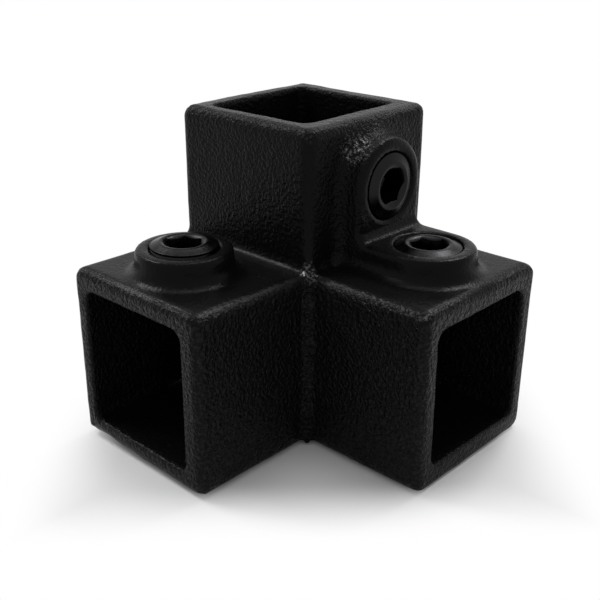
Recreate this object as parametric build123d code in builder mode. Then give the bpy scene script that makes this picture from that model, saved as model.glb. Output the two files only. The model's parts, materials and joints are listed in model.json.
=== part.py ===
"""Three way corner connector for square tube.

One casting holds three tubes at right angles: two level and one upright. Each tube slides into a
square socket and is held by a hexagon socket set screw in a tapped boss. All lengths are millimetres.

Frame: the level sockets point along +X and -Y, the upright one along +Z. The origin is the middle
of the corner's flat underside.
"""

import os
from math import cos, radians, sqrt, tan

from build123d import *

# ---------------------------------------------------------------- driving dimensions
# Tube and sockets
tube_size = 25.0            # outside of the square tube
tube_play = 1.5             # how much wider than the tube a socket is
socket_wall = 4.75          # wall round each socket
underside_wall = 5.95       # wall under the level sockets
socket_corner_round = 1.8   # inside corners of the sockets
stop_ledge = 2.0            # width of the ledge that each tube end meets

# Edges of the casting
long_edge_round = 2.5       # the arms' long outer edges
casting_fillet = 1.5        # inside corners between the arms and round the foot of each boss
fade_start = 0.5            # where the roundings beside the inner corner begin to fade in
fade_length = 4.0           # and the length over which they do
mouth_outer_round = 1.4     # outer rim of each mouth
mouth_inner_round = 0.6     # inner rim of each mouth

# Screw bosses
boss_radius = 9.3           # at the boss's flat
boss_height = 5.0           # above the arm's face
boss_draft = 6.0            # degrees
boss_edge_round = 1.0
pad_turn_round = 1.8        # inside corner where the joined pad turns from the arm up the upright
tapped_hole_bevel = 0.35    # bevel where a tapped hole opens in its boss
corner_land = 2.15          # flat left between the corner's fillet and the left boss's
turn_land = 0.95            # flat left between the joined pad's turn and its tapped holes
level_mouth_land = 0.6      # flat left between a boss's fillet and the rounded rim of a level mouth
upright_mouth_land = 0.05   # and of the upright mouth

# Set screws with 1/4 inch pipe thread
screw_diameter = 13.157     # over the thread
screw_clearance = 0.05      # between screw and tapped hole, on the radius
screw_length = 10.0
hex_size = 6.35             # across the flats of the hexagon socket
hex_depth = 5.0
hex_lead_in = 0.9           # depth of the cone that leads into the hexagon
crest_radius = 5.1          # the crown's highest circle
crown_drop = 0.7            # how far the crown falls from its crest to the thread
point_radius = 4.8          # flat rim of the cup point
point_taper = 1.3           # length of the taper down to the point
cup_radius = 3.6
cup_depth = 1.2
left_screw_proud = 1.1      # how far each screw stands out of its boss
right_screw_proud = 0.25
upright_screw_proud = 0.4

# ---------------------------------------------------------------- worked out from them
socket_size = tube_size + tube_play
body_size = socket_size + 2 * socket_wall
half_body = body_size / 2
chamber_size = socket_size - 2 * stop_ledge
hole_radius = screw_diameter / 2 + screw_clearance
draft_rate = tan(radians(boss_draft))
boss_foot_radius = boss_radius + boss_height * draft_rate
boss_reach = boss_foot_radius + casting_fillet
pad_depth = boss_height + 2 * casting_fillet + pad_turn_round

# Measured from the middle of the corner: the axis of the pad's turn, the screws and the mouths
turn_reach = half_body + boss_height + pad_turn_round
pad_screw_reach = turn_reach + turn_land + hole_radius
left_screw_reach = half_body + casting_fillet + corner_land + boss_reach
screw_reach = {"right": pad_screw_reach, "left": left_screw_reach, "upright": pad_screw_reach}
mouth_land = {"right": level_mouth_land, "left": level_mouth_land, "upright": upright_mouth_land}
reach = {
    side: screw_reach[side] + boss_reach + mouth_land[side] + mouth_outer_round
    for side in screw_reach
}

corner = Vector(0, 0, underside_wall + socket_size / 2)
turn_middle = corner + Vector(turn_reach, 0, turn_reach)
arms = {
    "right": Plane(corner, x_dir=(0, 1, 0), z_dir=(1, 0, 0)),
    "left": Plane(corner, x_dir=(1, 0, 0), z_dir=(0, -1, 0)),
    "upright": Plane(corner, x_dir=(1, 0, 0), z_dir=(0, 0, 1)),
}
# On the arm's face under each boss: x runs from the screw back to the corner, z runs outwards.
seats = {
    "right": Plane(
        corner + Vector(screw_reach["right"], 0, half_body), x_dir=(-1, 0, 0), z_dir=(0, 0, 1)
    ),
    "left": Plane(
        corner + Vector(0, -screw_reach["left"], half_body), x_dir=(0, 1, 0), z_dir=(0, 0, 1)
    ),
    "upright": Plane(
        corner + Vector(half_body, 0, screw_reach["upright"]), x_dir=(0, 0, -1), z_dir=(1, 0, 0)
    ),
}
screw_stands_proud = {
    "left": left_screw_proud,
    "right": right_screw_proud,
    "upright": upright_screw_proud,
}

# Three ridges and three valleys leave the inner corner, where the arms' faces meet in one point.
# z runs along each; x and y run into the metal beside a ridge and into the open beside a valley.
# A valley is as long as the arm that it crosses is wide, or as the corner is high.
inner_corner = corner + Vector(half_body, -half_body, half_body)
ridges = (
    Plane(inner_corner, x_dir=(0, 0, -1), z_dir=(1, 0, 0)),
    Plane(inner_corner, x_dir=(-1, 0, 0), z_dir=(0, -1, 0)),
    Plane(inner_corner, x_dir=(0, 1, 0), z_dir=(0, 0, 1)),
)
valleys = (
    (Plane(inner_corner, x_dir=(0, -1, 0), z_dir=(-1, 0, 0)), body_size),
    (Plane(inner_corner, x_dir=(0, 0, 1), z_dir=(0, 1, 0)), body_size),
    (Plane(inner_corner, x_dir=(1, 0, 0), z_dir=(0, 0, -1)), inner_corner.Z),
)


def fading_round(radius, length):
    """Square bar round the Z axis less a rod along (radius, radius), which touches its two sides.

    Cut from a ridge or added to a valley along Z, it rounds it. The rod widens towards the start,
    so that the rounding fades out beside the inner corner.
    """
    with BuildPart() as bar:
        with BuildSketch(Plane.XY.offset(fade_start)):
            Rectangle(2 * radius, 2 * radius)
        extrude(amount=length - fade_start)
        with BuildSketch(Plane.XZ.offset(-radius)):
            with BuildLine():
                Polyline(
                    (radius, fade_start),
                    (radius - radius * sqrt(2), fade_start),
                    (0, fade_start + fade_length),
                    (0, length),
                    (radius, length),
                    close=True,
                )
            make_face()
        revolve(axis=Axis((radius, radius, 0), (0, 0, 1)), mode=Mode.SUBTRACT)
    return bar.part


def bend(edge, solid):
    """How the two faces beside an edge of the solid meet: "inside", "outside" or "smooth"."""
    faces = [face for face in solid.faces() if edge in face.edges()]
    if len(faces) != 2:
        return "smooth"
    point = edge @ 0.5
    across = faces[0].normal_at(point) - faces[1].normal_at(point)
    if across.length < 1:
        return "smooth"
    return "inside" if solid.is_inside(point + across * 0.02) else "outside"


def corners(solid, kind):
    """Every edge of the solid that bends the given way."""
    return ShapeList(edge for edge in solid.edges() if bend(edge, solid) == kind)


def is_at(distance, value):
    """True where a measured distance is the wanted one."""
    return abs(distance - value) < 0.01


def is_under_boss(edge):
    """True for an edge beside a boss or the joined pad, well clear of the arm's long edges."""
    middle = edge @ 0.5
    return any(
        abs(seat.to_local_coords(middle).Y) < half_body - long_edge_round
        for seat in seats.values()
    )


def is_long_edge(edge):
    """True for an edge that is neither round a socket's mouth nor a stub beside the inner corner."""
    middle = edge @ 0.5
    on_mouth = any(is_at(arms[side].to_local_coords(middle).Z, reach[side]) for side in arms)
    return not on_mouth and (middle - inner_corner).length > fade_start


def is_on_pad_rim(edge):
    """True for an edge round the flat of a boss, or beside the turn of the joined pad."""
    middle = edge @ 0.5
    on_flat = any(is_at(seat.to_local_coords(middle).Z, boss_height) for seat in seats.values())
    from_turn = Vector(middle.X, 0, middle.Z) - turn_middle
    return on_flat or is_at(from_turn.length, pad_turn_round)


def pad_section(seat, distance):
    """Plane across the joined pad, on its flat, at a distance from the middle of the corner."""
    origin = seat.origin + seat.z_dir * boss_height + seat.x_dir * (pad_screw_reach - distance)
    return Plane(origin, x_dir=seat.y_dir, z_dir=seat.x_dir)


# ---------------------------------------------------------------- casting
# Drafted cross-section of the pad: its flat at y = 0, its sides spreading as they go down.
pad_low_half = boss_radius + pad_depth * draft_rate
with BuildSketch() as pad_outline:
    with BuildLine():
        Polyline(
            (-boss_radius, 0),
            (boss_radius, 0),
            (pad_low_half, -pad_depth),
            (-pad_low_half, -pad_depth),
            close=True,
        )
    make_face()

with BuildPart() as casting:
    # two level arms and the upright one stand on the underside and share one corner
    for side in ("right", "left"):
        with BuildSketch(arms[side].offset(-half_body)):
            with Locations((0, -corner.Z)):
                Rectangle(body_size, inner_corner.Z, align=(Align.CENTER, Align.MIN))
        extrude(amount=half_body + reach[side])
    with BuildSketch(Plane.XY):
        Rectangle(body_size, body_size)
    extrude(amount=corner.Z + reach["upright"])

    ridge_cut = fading_round(long_edge_round, max(reach.values()))
    for ridge in ridges:
        with Locations(ridge.location):
            add(ridge_cut, mode=Mode.SUBTRACT)
    for valley, length in valleys:
        valley_fill = fading_round(casting_fillet, length)
        with Locations(valley.location):
            add(valley_fill)

    # a round drafted boss on each arm
    for seat in seats.values():
        with BuildSketch(seat):
            Circle(boss_foot_radius)
        extrude(amount=boss_height, taper=boss_draft)

    # the right and the upright boss run back to the corner as one pad with a rounded turn
    for side in ("right", "upright"):
        with BuildSketch(pad_section(seats[side], pad_screw_reach)):
            add(pad_outline.sketch)
        extrude(amount=pad_screw_reach - turn_reach)
    with BuildSketch(pad_section(seats["right"], turn_reach)):
        add(pad_outline.sketch)
    revolve(axis=Axis(turn_middle, (0, 1, 0)), revolution_arc=90)
    fillet(corners(casting.part, "inside").filter_by(is_under_boss), radius=casting_fillet)

    fillet(corners(casting.part, "outside").filter_by(is_on_pad_rim), radius=boss_edge_round)
    long_edges = corners(casting.part, "outside").filter_by(is_long_edge)
    fillet(long_edges, radius=long_edge_round)

    # sockets, and the chamber that joins them behind the ledges
    for side, arm in arms.items():
        with BuildSketch(arm.offset(half_body)):
            RectangleRounded(socket_size, socket_size, socket_corner_round)
        extrude(amount=reach[side] - half_body, mode=Mode.SUBTRACT)
        with BuildSketch(arm.offset(-chamber_size / 2)):
            Rectangle(chamber_size, chamber_size)
        extrude(amount=chamber_size / 2 + half_body, mode=Mode.SUBTRACT)

    # rounded rims of the mouths
    for arm in arms.values():
        along = Axis(arm.origin, arm.z_dir)
        fillet(casting.faces().sort_by(along)[-1].outer_wire().edges(), radius=mouth_outer_round)
        fillet(casting.faces().sort_by(along)[-1].inner_wires()[0].edges(), radius=mouth_inner_round)

    # tapped holes
    for seat in seats.values():
        flat = seat.offset(boss_height)
        with BuildSketch(flat):
            Circle(hole_radius)
        extrude(amount=-boss_height - half_body, mode=Mode.SUBTRACT)
        opening = casting.edges().filter_by(GeomType.CIRCLE).sort_by_distance(flat.origin)[0]
        chamfer(opening, length=tapped_hole_bevel)

casting.part.label = "casting"

# ---------------------------------------------------------------- set screws
# The screw stands upright here, its crown's crest at the origin.
hex_corner_radius = hex_size / 2 / cos(radians(30))
screw_radius = screw_diameter / 2
with BuildPart() as set_screw:
    with BuildSketch(Plane.XZ):
        with BuildLine():
            Polyline(
                (0, -hex_lead_in),
                (hex_corner_radius, -hex_lead_in),
                (crest_radius, 0),
                (screw_radius, -crown_drop),
                (screw_radius, point_taper - screw_length),
                (point_radius, -screw_length),
                (cup_radius, -screw_length),
                (0, cup_depth - screw_length),
                close=True,
            )
        make_face()
    revolve(axis=Axis.Z)
    with BuildSketch():
        RegularPolygon(radius=hex_size / 2, side_count=6, major_radius=False)
    extrude(amount=-hex_depth, mode=Mode.SUBTRACT)

pieces = [casting.part]
for side, seat in seats.items():
    with BuildPart() as placed_screw:
        with Locations(seat.offset(boss_height + screw_stands_proud[side]).location):
            add(set_screw.part)
    placed_screw.part.label = f"{side}_set_screw"
    pieces.append(placed_screw.part)

# ---------------------------------------------------------------- files
os.makedirs("parts", exist_ok=True)
for piece in pieces:
    export_step(piece, f"parts/{piece.label}.step")
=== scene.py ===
"""Looks of the three way corner connector: a powder coated casting and its three set screws.

Everything is in metres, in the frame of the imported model: the level sockets point along +X and -Y,
the upright one along +Z, and the origin is the middle of the underside.
"""

import json
import math

import bpy
import numpy as np
from mathutils import Matrix, Vector


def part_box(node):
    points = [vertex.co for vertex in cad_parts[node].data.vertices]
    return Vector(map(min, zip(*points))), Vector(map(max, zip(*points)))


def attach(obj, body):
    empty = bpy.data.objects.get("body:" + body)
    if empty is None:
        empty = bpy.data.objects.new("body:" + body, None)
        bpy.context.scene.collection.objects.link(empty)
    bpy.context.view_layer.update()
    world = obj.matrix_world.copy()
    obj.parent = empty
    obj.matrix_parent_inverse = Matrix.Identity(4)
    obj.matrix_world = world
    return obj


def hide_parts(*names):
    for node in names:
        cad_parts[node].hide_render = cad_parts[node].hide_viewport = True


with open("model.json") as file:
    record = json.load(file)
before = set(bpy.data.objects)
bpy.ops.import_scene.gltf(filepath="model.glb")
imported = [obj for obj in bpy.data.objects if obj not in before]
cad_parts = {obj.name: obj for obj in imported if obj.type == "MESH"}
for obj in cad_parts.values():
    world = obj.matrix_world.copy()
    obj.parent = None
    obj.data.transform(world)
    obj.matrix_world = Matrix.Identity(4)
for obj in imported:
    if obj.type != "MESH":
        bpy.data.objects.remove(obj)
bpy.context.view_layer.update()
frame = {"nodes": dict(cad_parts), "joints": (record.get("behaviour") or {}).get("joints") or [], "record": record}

MM = 0.001

# ---------------------------------------------------------------- sizes
# Skin of the casting: wander is the slow unevenness of a sand mould, pebble the grain of the sand
# under the coating. Both only go into the metal, so that the casting keeps its size. The cell is
# about the smallest that keeps the casting under 200,000 triangles.
SKIN_CELL = 0.59 * MM
WANDER_WIDTH = 9.0 * MM
WANDER_DEPTH = 0.10 * MM
PEBBLE_WIDTH = 2.0 * MM
PEBBLE_DEPTH = 0.05 * MM

# How coarse the skin is, as a share of the coat's crinkle. The joint of the mould is at the level
# arms' top, and the sand below it was coarser.
UPPER_GRAIN = 1.1
LOWER_GRAIN_GAIN = 1.5
JOINT_BLEND = 2 * MM
UPWARD_GRAIN_LOSS = 0.7
RIM_GRAIN = 1.6
LEVEL_BOSS_GRAIN = 0.35
UPRIGHT_FOOT_GRAIN = 1.2

# Where a boss's own grain ends, off its screw's axis and under its screw's crest, and the part of
# the upright boss's foot that is coarser, above the arms' top and off the axis
BOSS_GRAIN_RADIUS = 12.5 * MM
BOSS_GRAIN_RADIUS_END = 15 * MM
BOSS_GRAIN_DEPTH = 6.5 * MM
BOSS_GRAIN_DEPTH_END = 7.5 * MM
UPPER_FOOT_START = 6 * MM
UPPER_FOOT_END = 11 * MM
FOOT_GRAIN_START = 8.8 * MM
FOOT_GRAIN_END = 9.6 * MM

# The tapped holes are machined, so they have no cast skin. The skin comes back from the radius to
# its end, and from the depth under a screw's crest to its end.
MACHINED_RADIUS = 6.9 * MM
MACHINED_RADIUS_END = 7.6 * MM
MACHINED_DEPTH = 12 * MM
MACHINED_DEPTH_END = 14 * MM

# The casting as it left the sand. Each mouth's outer edge has its own round on its low and high
# sides along x, y and z, and the bottom of the left mouth has worn away towards its outer end.
# An edge is worked on from a point that lies EDGE_REACH inside both of its sides.
LONG_EDGE_ROUND = 2.5 * MM
EDGE_REACH = 5 * MM
DRAWN_MOUTH_ROUND = 1.4 * MM
MOUTH_EDGE_ROUND = {
    "right_socket": np.array(((0, 1.9, 1.1), (0, 0.7, 1.9))) * MM,
    "left_socket": np.array(((1.5, 0, 2.1), (1.9, 0, 1.9))) * MM,
    "upright_socket": np.array(((2.7, 2.3, 0), (2.2, 1.5, 0))) * MM,
}
WORN_EDGE_ROUND = 1.3 * MM
EDGE_WAVER = 0.3                # share of a round by which it differs along its edge
EDGE_WAVER_WIDTH = 4 * MM

# How far the four corners of each socket lie from their drawn places at the mouth: the sand core
# sat a little off and had some draft. Level sockets give the low side's top and bottom corner, then
# the high side's; the upright gives its -X side's -Y and +Y corner, then its +X side's. The shift
# fades out over the rim, and from CORE_FADE_START to CORE_FADE_END into the socket.
SOCKET_HALF = 13.25 * MM
CORE_CORNERS = {
    "right_socket": np.array((((-0.6, -0.1), (0.0, -1.4)), ((1.0, -0.2), (1.5, -1.8)))) * MM,
    "left_socket": np.array((((-0.9, 0.3), (-1.2, -1.3)), ((0.0, 0.45), (0.0, -1.6)))) * MM,
    "upright_socket": np.array((((0.65, -0.8), (-0.3, 0.2)), ((-0.55, -0.1), (-1.1, 0.1)))) * MM,
}
CORE_FADE_START = 4 * MM
CORE_FADE_END = 20 * MM
RIM_START = 13.9 * MM           # a socket's middle to the outside of its rounded inner edge
RIM_END = 17.3 * MM

# Foot of each boss, which the coat has pooled in. It is worked on from a point in the air that lies
# FOOT_REACH off both the boss and the arm.
BOSS_RADIUS = 9.3 * MM
BOSS_HEIGHT = 5.0 * MM
BOSS_DRAFT = math.radians(6)
DRAWN_FOOT_ROUND = 1.5 * MM
FOOT_ROUND = 2.2 * MM
FOOT_REACH = 4 * MM
FOOT_MARGIN = 0.6 * MM          # how deep under the drawn skin a place may lie and still count

# The bead of metal in the valley between the level arms, and the knot of lumps at its top
VALLEY_BEAD = 1.6 * MM
VALLEY_MARGIN = 0.4 * MM        # how deep under either face a place may lie and still count
VALLEY_TOP = 0.8 * MM           # from the arms' top down to the start of the bead
RIPPLE = 0.8
RIPPLE_WIDTH = 1.1 * MM
RIPPLE_STRETCH = (0.3, 0.3, 1.0)
RIPPLE_LOSS = 0.6               # share of the ripple that fades out on the way down
RIPPLE_FADE_START = 14 * MM
RIPPLE_FADE_END = 24 * MM
KNOT_SIZE = 2.5 * MM
KNOT_GRAIN = 0.85 * MM
KNOT_HEIGHT = 0.7 * MM
KNOT_OFFSET = 0.3 * MM

# Where the coat has pooled in specks: the middle and the radius of each place. The outer sides
# below the joint of the mould have it faintly all over.
SPECKLED = {
    "foot_of_upright_boss": (np.array((18.8, -6.3, 59.2)) * MM, 3.8 * MM),
    "upright_mouth_inner_corner": (np.array((18.0, -18.0, 63.0)) * MM, 1.6 * MM),
    "right_mouth_top_corner": (np.array((45.0, -17.5, 36.8)) * MM, 1.5 * MM),
    "left_mouth_top_corner": (np.array((-17.5, -46.0, 36.8)) * MM, 1.3 * MM),
}
SIDE_POOL = 0.1

# Set screw, measured from the crest of its crown
THREAD_PITCH = 1.337 * MM
THREAD_DEPTH = 0.6 * MM
THREAD_CLEARANCE = 0.04 * MM
THREAD_RUN_IN = 0.5             # pitches from the crown to the thread's full depth
THREAD_FIRST_DEPTH = 0.15       # share of that depth at the crown
HEX_SIZE = 6.35 * MM
HEX_DEPTH = 5.0 * MM
DRILL_RADIUS = 2.95 * MM
DRILL_POINT = 0.5 * MM
LEAD_IN_RADIUS = 4.1 * MM
LEAD_IN_SLOPE = 0.58
CREST_RADIUS = 4.8 * MM
CROWN_DROP = 0.7 * MM
POINT_RADIUS = 4.8 * MM
POINT_TAPER = 1.3 * MM
CUP_RADIUS = 3.6 * MM
CUP_DEPTH = 1.2 * MM
POLE_RADIUS = 0.02 * MM         # of the flat that closes each end
COLUMNS = 144
ROWS_PER_TURN = 12
SCREW_TURNS = {"left_set_screw": 17, "right_set_screw": 23, "upright_set_screw": 0}     # degrees

# Light. The world, the paper and the three softboxes light a level white sheet to about 1.2. The
# cards stand with the side softboxes and show only in gloss. Sizes in metres, powers in watts.
WHITE_SEEN = 1.0
WHITE_LIGHTING = 0.45
LEFT_OF_OBJECT = Vector((-0.42, -0.15, 0.54))
RIGHT_OF_OBJECT = Vector((0.02, 0.38, 0.58))
OVERHEAD = Vector((-0.06, 0.07, 0.68))
LIT_POINT = Vector((0, 0, 0.03))
SOFTBOX_SIZE = 0.2
LEFT_POWER = 1.8
RIGHT_POWER = 1.7
OVERHEAD_SIZE = 0.24
OVERHEAD_POWER = 0.6
CARD_SIZE = 0.18
CARD_POWER = 3.0

# The floor is lit paper within a square that stands at 45 degrees to the casting, and fades to
# plain white round it. Both distances run from the square's middle, which is moved towards the
# camera, to its sides.
FLOOR_REACH = 3.0
FADE_SHIFT = 3 * MM
FADE_START = 36 * MM
FADE_END = 55 * MM

# Camera: where it stands and what it looks at
CAMERA_AZIMUTH = 42.975
CAMERA_ELEVATION = 23.429
CAMERA_ROLL = 0.352
CAMERA_DISTANCE = 186.270 * MM
CAMERA_AIM = Vector((9.410, -11.063, 27.135)) * MM
CAMERA_LENS = 54.740
SENSOR_WIDTH = 36.0
NEAREST_SEEN = 0.01


# ---------------------------------------------------------------- materials
def linear(colour):
    """An sRGB hex colour as linear red, green, blue and alpha."""
    parts = [int(colour[i:i + 2], 16) / 255 for i in (1, 3, 5)]
    return [c / 12.92 if c <= 0.04045 else ((c + 0.055) / 1.055) ** 2.4 for c in parts] + [1.0]


def add_node(tree, kind, properties=None, inputs=None):
    """Adds a node to a tree. An input is given a value, or another node's output to link to."""
    node = tree.nodes.new(kind)
    for name, value in (properties or {}).items():
        setattr(node, name, value)
    for name, value in (inputs or {}).items():
        if isinstance(value, bpy.types.NodeSocket):
            tree.links.new(value, node.inputs[name])
        else:
            node.inputs[name].default_value = value
    return node


def new_material(name):
    """An empty node material."""
    material = bpy.data.materials.new(name)
    material.use_nodes = True
    material.node_tree.nodes.clear()
    return material, material.node_tree


def powder_coated_iron():
    """Black polyester powder coat, baked on a sand-cast iron skin.

    The coat gives a soft sheen and rounds off the sand's grain, which shows as wrinkled pebbles
    about 0.7 mm across with finer grit on them. Its gloss is set low, because the white studio
    shows in it at full strength.
    """
    material, tree = new_material("black_powder_coat_on_cast_iron")
    place = add_node(tree, "ShaderNodeTexCoord").outputs["Object"]
    drawn_out = add_node(tree, "ShaderNodeMapping", inputs={"Vector": place, "Scale": (1, 1, 0.9)})
    grain = add_node(tree, "ShaderNodeAttribute", {"attribute_name": "grain"}).outputs["Fac"]
    crinkle = add_node(tree, "ShaderNodeTexNoise", inputs={
        "Vector": drawn_out.outputs[0], "Scale": 1 / (0.72 * MM), "Detail": 2.0,
        "Roughness": 0.55, "Distortion": 0.2})
    grit = add_node(tree, "ShaderNodeTexNoise", inputs={
        "Vector": place, "Scale": 1 / (0.35 * MM), "Detail": 1.0, "Roughness": 0.5})
    patches = add_node(tree, "ShaderNodeTexNoise", inputs={
        "Vector": place, "Scale": 1 / (6 * MM), "Detail": 3.0, "Roughness": 0.6})
    height = add_node(tree, "ShaderNodeMath", {"operation": "MULTIPLY"},
                      inputs={0: crinkle.outputs["Fac"], 1: grain})
    crinkle_bump = add_node(tree, "ShaderNodeBump", inputs={
        "Strength": 1.0, "Distance": 0.28 * MM, "Height": height.outputs[0]})
    grit_bump = add_node(tree, "ShaderNodeBump", inputs={
        "Strength": 0.6, "Distance": 0.05 * MM, "Height": grit.outputs["Fac"],
        "Normal": crinkle_bump.outputs[0]})
    gloss = add_node(tree, "ShaderNodeMapRange", inputs={
        "Value": patches.outputs["Fac"], "From Min": 0.3, "From Max": 0.7,
        "To Min": 0.22, "To Max": 0.30})
    # Where the coat has pooled, specks of it are thick enough to shine as plain varnish does.
    pooled = add_node(tree, "ShaderNodeAttribute", {"attribute_name": "pooled"}).outputs["Fac"]
    lump = add_node(tree, "ShaderNodeTexNoise", inputs={
        "Vector": place, "Scale": 1 / (0.6 * MM), "Detail": 1.0, "Roughness": 0.5})
    speck = add_node(tree, "ShaderNodeMapRange", inputs={
        "Value": lump.outputs["Fac"], "From Min": 0.48, "From Max": 0.6})
    share = add_node(tree, "ShaderNodeMath", {"operation": "MULTIPLY"},
                     inputs={0: pooled, 1: speck.outputs[0]})
    shine = add_node(tree, "ShaderNodeMapRange", inputs={
        "Value": share.outputs[0], "To Min": 0.052, "To Max": 0.6})
    coat = add_node(tree, "ShaderNodeBsdfPrincipled", inputs={
        "Base Color": linear("#0d0d0d"), "Roughness": gloss.outputs[0], "IOR": 1.5,
        "Specular IOR Level": shine.outputs[0], "Normal": grit_bump.outputs[0]})
    add_node(tree, "ShaderNodeOutputMaterial", inputs={"Surface": coat.outputs[0]})
    return material


def black_oxide_steel():
    """Turned steel with a hot black oxide finish: dark, satin metal with faint stains."""
    material, tree = new_material("black_oxide_steel")
    place = add_node(tree, "ShaderNodeTexCoord").outputs["Object"]
    stain = add_node(tree, "ShaderNodeTexNoise", inputs={
        "Vector": place, "Scale": 1 / (1.2 * MM), "Detail": 4.0, "Roughness": 0.6})
    gloss = add_node(tree, "ShaderNodeMapRange", inputs={
        "Value": stain.outputs["Fac"], "From Min": 0.3, "From Max": 0.7,
        "To Min": 0.2, "To Max": 0.36})
    bump = add_node(tree, "ShaderNodeBump", inputs={
        "Strength": 0.5, "Distance": 0.02 * MM, "Height": stain.outputs["Fac"]})
    steel = add_node(tree, "ShaderNodeBsdfPrincipled", inputs={
        "Base Color": linear("#202021"), "Specular Tint": (0.7, 0.7, 0.7, 1.0), "Metallic": 1.0,
        "Roughness": gloss.outputs[0], "Normal": bump.outputs[0]})
    add_node(tree, "ShaderNodeOutputMaterial", inputs={"Surface": steel.outputs[0]})
    return material


# ---------------------------------------------------------------- helpers for shapes
def smooth_noise(points, width, seed):
    """Noise from 0 to 1 at every point.

    Random values at the corners of cells of the given width are blended across each cell by
    3t^2 - 2t^3 along x, y and z.
    """
    side = 32
    table = np.random.default_rng(seed).random((side, side, side))
    scaled = points / width
    cell = np.floor(scaled).astype(int)
    t = scaled - cell
    t = t * t * (3 - 2 * t)
    total = np.zeros(len(points))
    for step in np.ndindex(2, 2, 2):
        weight = np.prod(np.where(np.array(step) == 1, t, 1 - t), axis=1)
        index = (cell + step) % side
        total += weight * table[index[:, 0], index[:, 1], index[:, 2]]
    return total


def ease(value, start, end):
    """0 before start, 1 after end, and a smooth 3t^2 - 2t^3 between them."""
    t = np.clip((value - start) / (end - start), 0, 1)
    return t * t * (3 - 2 * t)


def mesh_arrays(mesh):
    """Every vertex's place and normal, as two arrays."""
    places = np.empty(len(mesh.vertices) * 3, np.float32)
    mesh.vertices.foreach_get("co", places)
    normals = np.empty(len(mesh.vertices) * 3, np.float32)
    mesh.vertex_normals.foreach_get("vector", normals)
    return places.reshape(-1, 3).astype(float), normals.reshape(-1, 3).astype(float)


def add_piece(name, mesh, material, body, replaced):
    """Puts a finished mesh in the scene in place of a CAD node, riding on a body."""
    piece = bpy.data.objects.new(name, mesh)
    bpy.context.scene.collection.objects.link(piece)
    mesh.materials.clear()
    mesh.materials.append(material)
    mesh.polygons.foreach_set("use_smooth", [True] * len(mesh.polygons))
    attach(piece, body)
    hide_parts(replaced)
    return piece


# ---------------------------------------------------------------- casting
def evenly_meshed(node, cell):
    """The node's surface as small squares of one size, fine enough to carry the cast skin."""
    copy = node.copy()
    copy.data = node.data.copy()
    copy.parent = None
    bpy.context.scene.collection.objects.link(copy)
    weld = copy.modifiers.new("weld", "WELD")
    weld.merge_threshold = 0.001 * MM
    remesh = copy.modifiers.new("remesh", "REMESH")
    remesh.mode = "VOXEL"
    remesh.voxel_size = cell
    depsgraph = bpy.context.evaluated_depsgraph_get()
    mesh = bpy.data.meshes.new_from_object(copy.evaluated_get(depsgraph))
    bpy.data.objects.remove(copy)
    return mesh


def under_side(places, axis, block):
    """How deep each place lies under the nearest side of an arm, and which way that side faces.

    An arm's outline is the corner block's, seen along the arm: a rectangle with rounded corners.
    The depth is counted from the nearer side, and in a corner from the quarter circle there.
    """
    across = 1 - np.abs(axis)
    middle = (block[0] + block[1]) / 2
    half = (block[1] - block[0]) / 2 - LONG_EDGE_ROUND
    offset = places - middle
    past = np.where(across > 0, np.abs(offset) - half, -1.0)
    beyond = np.maximum(past, 0)
    nearest = (past == past.max(axis=1, keepdims=True)).astype(float)
    facing = np.where(beyond.max(axis=1, keepdims=True) > 0, beyond, nearest)
    facing = facing / np.linalg.norm(facing, axis=1, keepdims=True) * np.sign(offset)
    depth = LONG_EDGE_ROUND - np.minimum(past.max(axis=1), 0) - np.linalg.norm(beyond, axis=1)
    return depth, facing


def edge_reach(toward_side, toward_mouth, inside, radius):
    """How far it is from a point inside an edge to the metal's skin, in a direction of length 1.

    The point lies equally far inside the side and the mouth. The skin is two flats, joined by a
    quarter circle: the way to the circle's far side solves the circle's square equation, and it
    counts where it is shorter than the way to the flats.
    """
    to_flats = inside / np.maximum(np.maximum(toward_side, toward_mouth), 1e-9)
    from_circle = inside - radius
    sum_of_ways = toward_side + toward_mouth
    under_root = (from_circle * sum_of_ways) ** 2 - 2 * from_circle ** 2 + radius ** 2
    to_circle = from_circle * sum_of_ways + np.sqrt(np.maximum(under_root, 0))
    at_circle = inside - to_flats * np.minimum(toward_side, toward_mouth) < radius
    return np.where(at_circle & (under_root > 0), np.minimum(to_circle, to_flats), to_flats)


def round_mouth(places, mount, block):
    """Gives a mouth's outer edge its own rounds, each as far as the edge of the casting has worn.

    Seen along the edge, every place moves on the ray from a point inside the edge, by the ratio of
    the skin's distances on that ray after and before.
    """
    axis = np.array(mount["axis"], float)
    depth, facing = under_side(places, axis, block)
    low, high = MOUTH_EDGE_ROUND[mount["name"]]
    radius = (facing ** 2 * np.where(facing < 0, low, high)).sum(axis=1)
    if mount["name"] == "left_socket":
        towards_end = ease(-places[:, 0], block[0][0], block[1][0])
        radius += WORN_EDGE_ROUND * ease(-facing[:, 2], 0.2, 0.8) * towards_end
    radius *= 1 - EDGE_WAVER / 2 + EDGE_WAVER * smooth_noise(places, EDGE_WAVER_WIDTH, 11)
    to_side = EDGE_REACH - depth
    to_mouth = EDGE_REACH - (np.array(mount["pos_m"]) - places) @ axis
    way = np.maximum(np.hypot(to_side, to_mouth), 1e-9)
    near = (to_side > 0) & (to_mouth > 0)
    before = edge_reach(to_side / way, to_mouth / way, EDGE_REACH, DRAWN_MOUTH_ROUND)
    after = edge_reach(to_side / way, to_mouth / way, EDGE_REACH, radius)
    growth = np.where(near, after / before - 1, 0)[:, None]
    return places + growth * (to_side[:, None] * facing + to_mouth[:, None] * axis)


def way_of_pad(crest, outwards):
    """Which way the pad runs on from a boss: the right and the upright boss share one pad."""
    if crest[0] < 1 * MM:
        return np.zeros(3)
    return np.array((0.0, 0.0, -1.0)) if outwards[0] > 0 else np.array((-1.0, 0.0, 0.0))


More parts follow.
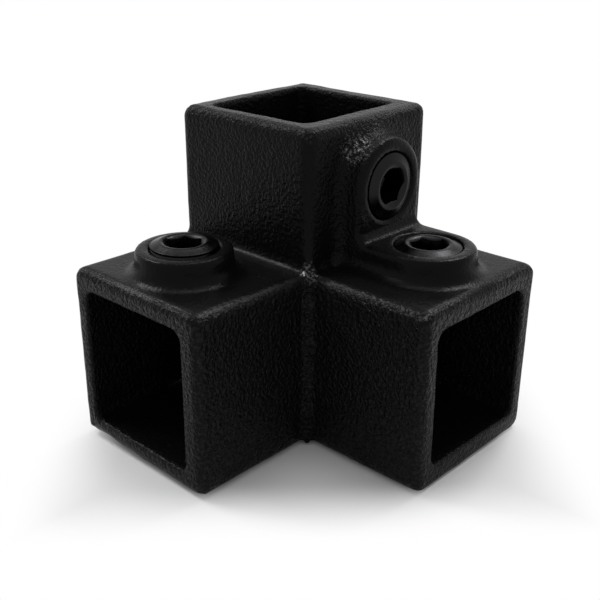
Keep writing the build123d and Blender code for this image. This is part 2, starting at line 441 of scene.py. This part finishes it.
def widen_foot(places, crest, outwards, arm_surface):
    """Fills the round at a boss's foot, from its drawn radius to the one that the coat gives it.

    Seen round the boss, every place moves on the ray from a point in the air off the boss and the
    arm, by the ratio of the skin's distances on that ray after and before. The sides of the pad
    run straight on from the boss.
    """
    pad_way = way_of_pad(crest, outwards)
    offset = places - crest
    height = offset @ outwards + crest @ outwards - arm_surface
    flat = offset - (offset @ outwards)[:, None] * outwards
    flat = flat - np.maximum(flat @ pad_way, 0)[:, None] * pad_way
    from_axis = np.maximum(np.linalg.norm(flat, axis=1), 1e-9)
    off_side = from_axis - BOSS_RADIUS - (BOSS_HEIGHT - height) * math.tan(BOSS_DRAFT)
    to_side, to_arm = FOOT_REACH - off_side, FOOT_REACH - height
    near = (to_side > 0) & (to_arm > 0) & (off_side > -FOOT_MARGIN) & (height > -FOOT_MARGIN)
    way = np.maximum(np.hypot(to_side, to_arm), 1e-9)
    before = edge_reach(to_side / way, to_arm / way, FOOT_REACH, DRAWN_FOOT_ROUND)
    after = edge_reach(to_side / way, to_arm / way, FOOT_REACH, FOOT_ROUND)
    growth = np.where(near, after / before - 1, 0)[:, None]
    return places - growth * (
        to_side[:, None] * flat / from_axis[:, None] + to_arm[:, None] * outwards)


def shift_core(places, mount):
    """Moves the walls of a socket sideways near its mouth, as by a core that sat off its middle.

    Across the socket the shift is blended between those of its four corners, and it fades out
    over the rim and with the depth.
    """
    axis = np.array(mount["axis"], float)
    offset = places - np.array(mount["pos_m"])
    depth = -offset @ axis
    across = [i for i in range(3) if axis[i] == 0]
    share = np.clip((offset[:, across] / SOCKET_HALF + 1) / 2, 0, 1)
    low_low, low_high, high_low, high_high = (
        CORE_CORNERS[mount["name"]][i, j] for i in (0, 1) for j in (0, 1))
    first, second = share[:, :1], share[:, 1:]
    if axis[2] == 0:
        second = 1 - second
    shift = (low_low * (1 - first) * (1 - second) + low_high * (1 - first) * second
             + high_low * first * (1 - second) + high_high * first * second)
    from_middle = np.abs(offset[:, across]).max(axis=1)
    fade = 1 - ease(from_middle, RIM_START, RIM_END)
    fade = fade * (1 - ease(depth, CORE_FADE_START, CORE_FADE_END)) * (depth > -1 * MM)
    moved = places.copy()
    moved[:, across] += fade[:, None] * shift
    return moved


def fill_valley(places, inner_corner):
    """Fills the upright valley beside the inner corner with a flat bead that ripples near its top.

    Where the distances from the two faces add up to less than the bead's width, both grow by half
    of what is missing.
    """
    out = (places - inner_corner) * (1, -1, 0)
    below = inner_corner[2] - places[:, 2]
    ripple = smooth_noise(places * RIPPLE_STRETCH, RIPPLE_WIDTH, 17) - 0.5
    fade = 1 - RIPPLE_LOSS * ease(below, RIPPLE_FADE_START, RIPPLE_FADE_END)
    width = VALLEY_BEAD * (1 + RIPPLE * ripple * fade)
    near = (out[:, 0] > -VALLEY_MARGIN) & (out[:, 1] > -VALLEY_MARGIN) & (below > VALLEY_TOP)
    missing = np.where(near, np.maximum(width - out[:, 0] - out[:, 1], 0), 0)
    return places + missing[:, None] / 2 * np.array((1.0, -1.0, 0.0))


def along_and_off(places, crest, outwards):
    """How far each place lies outwards of a screw's crest, and how far off the screw's axis."""
    offset = places - crest
    along = offset @ outwards
    return along, np.linalg.norm(offset - along[:, None] * outwards, axis=1)


def below_joint(places, block):
    """1 below the joint of the mould, which is at the level arms' top, and 0 above it."""
    arm_top = block[1][2]
    return 1 - ease(places[:, 2], arm_top - JOINT_BLEND, arm_top)


def skin_grain(places, normals, mounts, screws, block):
    """How coarse the skin is at each place.

    It is coarser below the joint of the mould, and finer on faces that look up. The mouths' rims
    and the level bosses have a grain of their own, and the upper part of the upright boss's foot
    has more than the rest.
    """
    grain = UPPER_GRAIN + LOWER_GRAIN_GAIN * below_joint(places, block)
    grain -= UPWARD_GRAIN_LOSS * ease(normals[:, 2], 0.4, 0.8) * grain
    for mount in mounts:
        axis = np.array(mount["axis"], float)
        short_of_mouth = (np.array(mount["pos_m"]) - places) @ axis
        rim = ease(normals @ axis, 0.3, 0.8) * (1 - ease(short_of_mouth, 0.6 * MM, 1.5 * MM))
        grain += (RIM_GRAIN - grain) * rim
    for crest, outwards in screws:
        along, off_axis = along_and_off(places, crest, outwards)
        boss = 1 - ease(off_axis, BOSS_GRAIN_RADIUS, BOSS_GRAIN_RADIUS_END)
        boss *= ease(along, -BOSS_GRAIN_DEPTH_END, -BOSS_GRAIN_DEPTH)
        if outwards[2] > 0:
            grain += (LEVEL_BOSS_GRAIN - grain) * boss
        else:
            arm_top = block[1][2]
            upper = ease(places[:, 2], arm_top + UPPER_FOOT_START, arm_top + UPPER_FOOT_END)
            on_foot = ease(off_axis, FOOT_GRAIN_START, FOOT_GRAIN_END)
            grain += UPRIGHT_FOOT_GRAIN * upper * boss * on_foot
    return grain


def machined_share(places, screws):
    """1 in the tapped holes, and 0 on the cast skin."""
    machined = np.zeros(len(places))
    for crest, outwards in screws:
        along, off_axis = along_and_off(places, crest, outwards)
        near = 1 - ease(off_axis, MACHINED_RADIUS, MACHINED_RADIUS_END)
        machined = np.maximum(machined, near * ease(along, -MACHINED_DEPTH_END, -MACHINED_DEPTH))
    return machined


def pooled_coat(places, normals, mounts, block, knot):
    """How much the coat has pooled at each place, from 0 to 1.

    It is 1 on the knot and in the middle of each speckled place, and SIDE_POOL on the outer sides
    below the joint of the mould. Each socket is left out as a square that runs right through the
    casting, so the face behind a socket has a bare square too.
    """
    outside = np.ones(len(places))
    for mount in mounts:
        axis = np.array(mount["axis"], float)
        offset = places - np.array(mount["pos_m"])
        from_middle = (np.abs(offset) * (1 - np.abs(axis))).max(axis=1)
        on_rim = -offset @ axis < 0.5 * MM
        outside = outside * np.where(on_rim, 1, ease(from_middle, SOCKET_HALF, RIM_START))
    on_wall = 1 - ease(np.abs(normals[:, 2]), 0.3, 0.7)
    pooled = np.maximum(knot, SIDE_POOL * outside * on_wall * below_joint(places, block))
    for middle, radius in SPECKLED.values():
        off_middle = np.linalg.norm(places - middle, axis=1)
        pooled = np.maximum(pooled, 1 - ease(off_middle, 0.4 * radius, radius))
    return pooled


def cast_skin(mesh, mounts, screws, block, inner_corner):
    """Gives the casting its as-cast forms and skin, and stores its "grain" and "pooled" coat.

    After the mouths, the cores, the feet of the bosses and the valley, each vertex moves in along
    its normal by slow and by pebble noise, and the knot's lumps stand out of the inner corner
    along (1, -1, 1). The tapped holes keep their shape.
    """
    places, normals = mesh_arrays(mesh)
    grain = skin_grain(places, normals, mounts, screws, block)
    machined = machined_share(places, screws)
    from_knot = np.linalg.norm(places - inner_corner - KNOT_OFFSET, axis=1)
    knot = 1 - ease(from_knot, 0.5 * KNOT_SIZE, KNOT_SIZE)
    pooled = pooled_coat(places, normals, mounts, block, knot)

    wander = smooth_noise(places, WANDER_WIDTH, 3) * WANDER_DEPTH
    pebble = smooth_noise(places, PEBBLE_WIDTH, 5) * PEBBLE_DEPTH * grain
    lumps = knot * KNOT_HEIGHT * (0.5 + smooth_noise(places, KNOT_GRAIN, 23))
    out_of_corner = np.array((1.0, -1.0, 1.0)) / math.sqrt(3)
    sunk = (wander + pebble) * (1 - machined)

    formed = places
    for mount in mounts:
        formed = shift_core(round_mouth(formed, mount, block), mount)
    formed = formed + (places - formed) * machined[:, None]
    for crest, outwards in screws:
        formed = widen_foot(formed, crest, outwards, block[1] @ outwards)
    formed = fill_valley(formed, inner_corner)
    formed = formed - normals * sunk[:, None] + lumps[:, None] * out_of_corner
    mesh.vertices.foreach_set("co", formed.astype(np.float32).ravel())
    for name, value in (("grain", grain), ("pooled", pooled)):
        attribute = mesh.attributes.new(name, "FLOAT", "POINT")
        attribute.data.foreach_set("value", value.astype(np.float32))
    mesh.update()
    return mesh


# ---------------------------------------------------------------- set screws
def set_screw_mesh(name, radius, length):
    """A set screw along +Z, its crest at the origin, as one grid of rows round the axis.

    A row is a radius and a height for each angle. The hexagon's radius is half its size over the
    cosine of the angle from the nearest flat's middle. The thread's radius falls and rises by a
    triangle wave of height over pitch plus turns.
    """
    angle = np.arange(COLUMNS) * 2 * math.pi / COLUMNS
    even = np.ones(COLUMNS)
    from_flat = np.mod(angle, math.pi / 3) - math.pi / 6
    hexagon = HEX_SIZE / 2 / np.cos(from_flat)
    lead_in = -(LEAD_IN_RADIUS - hexagon) * LEAD_IN_SLOPE
    crest_inner = (LEAD_IN_RADIUS + 0.35 * MM) * even
    rows = [
        # drill point, from the pole to the hexagon's bottom
        (POLE_RADIUS * even, -(HEX_DEPTH + DRILL_POINT) * even),
        (1.5 * MM * even, -(HEX_DEPTH + 0.3 * MM) * even),
        (DRILL_RADIUS * even, -HEX_DEPTH * even),
        # walls of the hexagon, up to the chamfer that leads the key in
        (hexagon, -HEX_DEPTH * even),
        (hexagon, -HEX_DEPTH * 0.98 * even),
        (hexagon, lead_in - 0.08 * MM),
        (hexagon + 0.03 * MM, lead_in + 0.02 * MM),
        (LEAD_IN_RADIUS * even, -0.06 * MM * even),
        # crest, and the crown that falls from it to the thread
        (crest_inner, 0 * even),
        ((CREST_RADIUS - 0.25 * MM) * even, 0 * even),
        ((CREST_RADIUS + 0.05 * MM) * even, -0.06 * MM * even),
        ((CREST_RADIUS + 0.2 * MM) * even, -0.14 * MM * even),
        ((radius - 0.25 * MM) * even, (-CROWN_DROP + 0.05 * MM) * even),
    ]
    thread_end = -length + POINT_TAPER
    heights = np.arange(-CROWN_DROP, thread_end, -THREAD_PITCH / ROWS_PER_TURN)
    for height in heights:
        wave = np.abs(2 * np.mod(height / THREAD_PITCH + angle / (2 * math.pi), 1) - 1)
        rising = min(1.0, (-CROWN_DROP - height) / (THREAD_RUN_IN * THREAD_PITCH) + THREAD_FIRST_DEPTH)
        rows.append((radius - THREAD_CLEARANCE - THREAD_DEPTH * rising * wave, height * even))
    rows += [
        # point, its flat ring and the cup in it
        ((radius - THREAD_DEPTH) * even, thread_end * even),
        (POINT_RADIUS * even, -length * even),
        (CUP_RADIUS * even, -length * even),
        (POLE_RADIUS * even, (-length + CUP_DEPTH) * even),
    ]
    radii = np.array([row[0] for row in rows])
    points = np.stack([radii * np.cos(angle), radii * np.sin(angle),
                       np.array([row[1] for row in rows])], axis=-1).reshape(-1, 3)
    row, column = np.meshgrid(np.arange(len(rows) - 1), np.arange(COLUMNS), indexing="ij")
    after = (column + 1) % COLUMNS
    quads = np.stack([row * COLUMNS + column, (row + 1) * COLUMNS + column,
                      (row + 1) * COLUMNS + after, row * COLUMNS + after], axis=-1).reshape(-1, 4)
    first = list(range(COLUMNS))
    last = [(len(rows) - 1) * COLUMNS + c for c in reversed(range(COLUMNS))]
    mesh = bpy.data.meshes.new(name)
    mesh.from_pydata(points.tolist(), [], quads.tolist() + [first, last])
    return mesh


# ---------------------------------------------------------------- the object
record = frame["record"]
socket_mounts = [m for m in record["mounts"] if m["kind"] == "slide"]
screws = {}
for joint in frame["joints"]:
    outwards = -np.array(joint["axis"], float)
    low, high = (np.array(corner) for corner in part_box(joint["child"]))
    middle = (low + high) / 2
    half = np.abs((high - low) @ outwards) / 2
    radius = (high - low).max() / 2
    screws[joint["child"]] = (middle + outwards * half, outwards, radius, half * 2)

# The corner block is what the arms share: as wide as they are, from the underside to their top.
low, high = (np.array(corner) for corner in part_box("casting"))
half_body = high[1]
block = np.array(((-half_body, -half_body, 0), (half_body, half_body, 0)))
block[1, 2] = socket_mounts[0]["pos_m"][2] + half_body
inner_corner = block[1] * (1, -1, 1)

coated = powder_coated_iron()
skin = cast_skin(
    evenly_meshed(frame["nodes"]["casting"], SKIN_CELL),
    socket_mounts,
    [(crest, outwards) for crest, outwards, radius, length in screws.values()],
    block,
    inner_corner,
)
skin.name = "casting_skin"
add_piece("casting_skin", skin, coated, "casting", "casting")

oxide = black_oxide_steel()
for name, (crest, outwards, radius, length) in screws.items():
    mesh = set_screw_mesh(name + "_threaded", radius, length)
    aim = Vector(outwards).to_track_quat("Z", "Y").to_matrix().to_4x4()
    turn = Matrix.Rotation(math.radians(SCREW_TURNS[name]), 4, "Z")
    mesh.transform(Matrix.Translation(Vector(crest)) @ aim @ turn)
    add_piece(name + "_threaded", mesh, oxide, name, name)


# ---------------------------------------------------------------- floor, light and camera
def white_for_eyes(tree):
    """White where the camera, gloss or glass looks, and a plainer level as light on the object."""
    path = add_node(tree, "ShaderNodeLightPath")
    camera_or_gloss = add_node(tree, "ShaderNodeMath", {"operation": "MAXIMUM"}, inputs={
        0: path.outputs["Is Camera Ray"], 1: path.outputs["Is Glossy Ray"]})
    looked_at = add_node(tree, "ShaderNodeMath", {"operation": "MAXIMUM"}, inputs={
        0: camera_or_gloss.outputs[0], 1: path.outputs["Is Transmission Ray"]})
    return add_node(tree, "ShaderNodeMapRange", inputs={
        "Value": looked_at.outputs[0], "To Min": WHITE_LIGHTING, "To Max": WHITE_SEEN}).outputs[0]


def studio_world():
    """An even white world."""
    world = bpy.data.worlds.new("studio")
    world.use_nodes = True
    tree = world.node_tree
    tree.nodes.clear()
    sky = add_node(tree, "ShaderNodeBackground", inputs={
        "Color": linear("#ffffff"), "Strength": white_for_eyes(tree)})
    add_node(tree, "ShaderNodeOutputWorld", inputs={"Surface": sky.outputs[0]})
    return world


def white_paper():
    """Matt white paper that takes the object's shadow, and fades to plain white round it."""
    material, tree = new_material("white_paper_floor")
    matt = add_node(tree, "ShaderNodeBsdfDiffuse", inputs={"Color": linear("#fafafa")})
    bare = add_node(tree, "ShaderNodeEmission", inputs={
        "Color": linear("#ffffff"), "Strength": white_for_eyes(tree)})
    place = add_node(tree, "ShaderNodeTexCoord").outputs["Object"]
    corner_wise = add_node(tree, "ShaderNodeMapping", inputs={
        "Vector": place, "Location": (-FADE_SHIFT, 0, 0), "Rotation": (0, 0, math.radians(45))})
    either_way = add_node(tree, "ShaderNodeVectorMath", {"operation": "ABSOLUTE"},
                          inputs={0: corner_wise.outputs[0]})
    ways = add_node(tree, "ShaderNodeSeparateXYZ", inputs={0: either_way.outputs[0]})
    from_object = add_node(tree, "ShaderNodeMath", {"operation": "MAXIMUM"},
                           inputs={0: ways.outputs["X"], 1: ways.outputs["Y"]})
    past_shadow = add_node(tree, "ShaderNodeMapRange", {"interpolation_type": "SMOOTHSTEP"}, inputs={
        "Value": from_object.outputs[0], "From Min": FADE_START, "From Max": FADE_END})
    mix = add_node(tree, "ShaderNodeMixShader", inputs={
        0: past_shadow.outputs[0], 1: matt.outputs[0], 2: bare.outputs[0]})
    add_node(tree, "ShaderNodeOutputMaterial", inputs={"Surface": mix.outputs[0]})
    return material


def add_floor(reach, material):
    """A square floor at height 0, which reaches as far as given each way."""
    mesh = bpy.data.meshes.new("floor")
    mesh.from_pydata([(-reach, -reach, 0), (reach, -reach, 0), (reach, reach, 0), (-reach, reach, 0)],
                     [], [(0, 1, 2, 3)])
    mesh.materials.append(material)
    floor = bpy.data.objects.new("floor", mesh)
    bpy.context.scene.collection.objects.link(floor)


def add_softbox(name, place, size, power, gloss_only=False):
    """A square lamp that looks at the object, or a bright card that only shows in gloss."""
    data = bpy.data.lights.new(name, "AREA")
    data.size = size
    data.energy = power
    lamp = bpy.data.objects.new(name, data)
    lamp.visible_diffuse = not gloss_only
    aim = (LIT_POINT - place).to_track_quat("-Z", "Y").to_matrix().to_4x4()
    lamp.matrix_world = Matrix.Translation(place) @ aim
    bpy.context.scene.collection.objects.link(lamp)


def add_camera():
    """The camera, at its distance from the point that it looks at."""
    data = bpy.data.cameras.new("camera")
    data.lens = CAMERA_LENS
    data.sensor_width = SENSOR_WIDTH
    data.clip_start = NEAREST_SEEN
    camera = bpy.data.objects.new("camera", data)
    bpy.context.scene.collection.objects.link(camera)
    azimuth, elevation = math.radians(CAMERA_AZIMUTH), math.radians(CAMERA_ELEVATION)
    backwards = Vector((math.sin(azimuth) * math.cos(elevation),
                        -math.cos(azimuth) * math.cos(elevation), math.sin(elevation)))
    camera.matrix_world = (
        Matrix.Translation(CAMERA_AIM + backwards * CAMERA_DISTANCE)
        @ backwards.to_track_quat("Z", "Y").to_matrix().to_4x4()
        @ Matrix.Rotation(math.radians(CAMERA_ROLL), 4, "Z")
    )
    return camera


bpy.context.scene.world = studio_world()
add_floor(FLOOR_REACH, white_paper())
add_softbox("left_softbox", LEFT_OF_OBJECT, SOFTBOX_SIZE, LEFT_POWER)
add_softbox("right_softbox", RIGHT_OF_OBJECT, SOFTBOX_SIZE, RIGHT_POWER)
add_softbox("overhead_softbox", OVERHEAD, OVERHEAD_SIZE, OVERHEAD_POWER)
add_softbox("left_card", LEFT_OF_OBJECT, CARD_SIZE, CARD_POWER, gloss_only=True)
add_softbox("right_card", RIGHT_OF_OBJECT, CARD_SIZE, CARD_POWER, gloss_only=True)
bpy.context.scene.camera = add_camera()
bpy.context.scene.view_settings.view_transform = "Standard"
